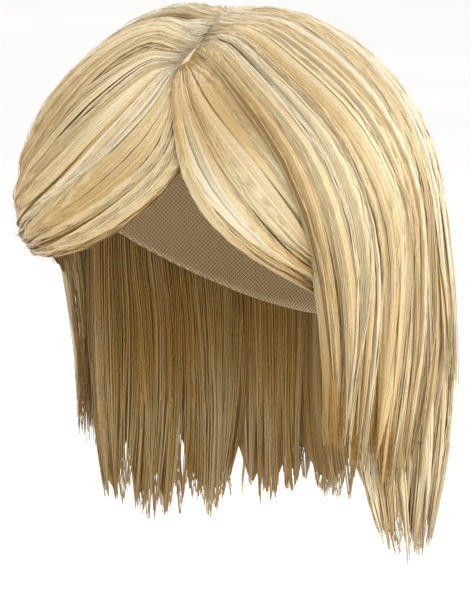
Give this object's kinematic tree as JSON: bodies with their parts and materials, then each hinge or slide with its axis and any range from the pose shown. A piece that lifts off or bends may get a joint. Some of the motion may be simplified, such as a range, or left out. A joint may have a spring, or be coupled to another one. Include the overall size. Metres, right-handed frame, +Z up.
{
  "type": "wig",
  "caption": "Straight, layered, collar-length blond wig with a side parting, swept fringe, side and nape hair on an open stretch cap.",
  "frame": {"origin": "inside of the cap's crown, where it sits on the top of the head", "axes": "+Z up out of the crown, the face looks along -Y, the wearer's left is +X"},
  "size_m": [0.1967, 0.2361, 0.2673],
  "materials": {
    "hair": "glossy blond synthetic fibre",
    "scalp": "matt scalp-coloured strip",
    "cap_net": "matt stretch net with sewn hair rows"
  },
  "bodies": {
    "root": {"wig_cap": "cap_net", "parting_strip": "scalp", "fringe_right": "hair", "fringe_left": "hair", "side_left": "hair", "side_right": "hair", "back_upper": "hair", "nape": "hair"}
  },
  "joints": []
}
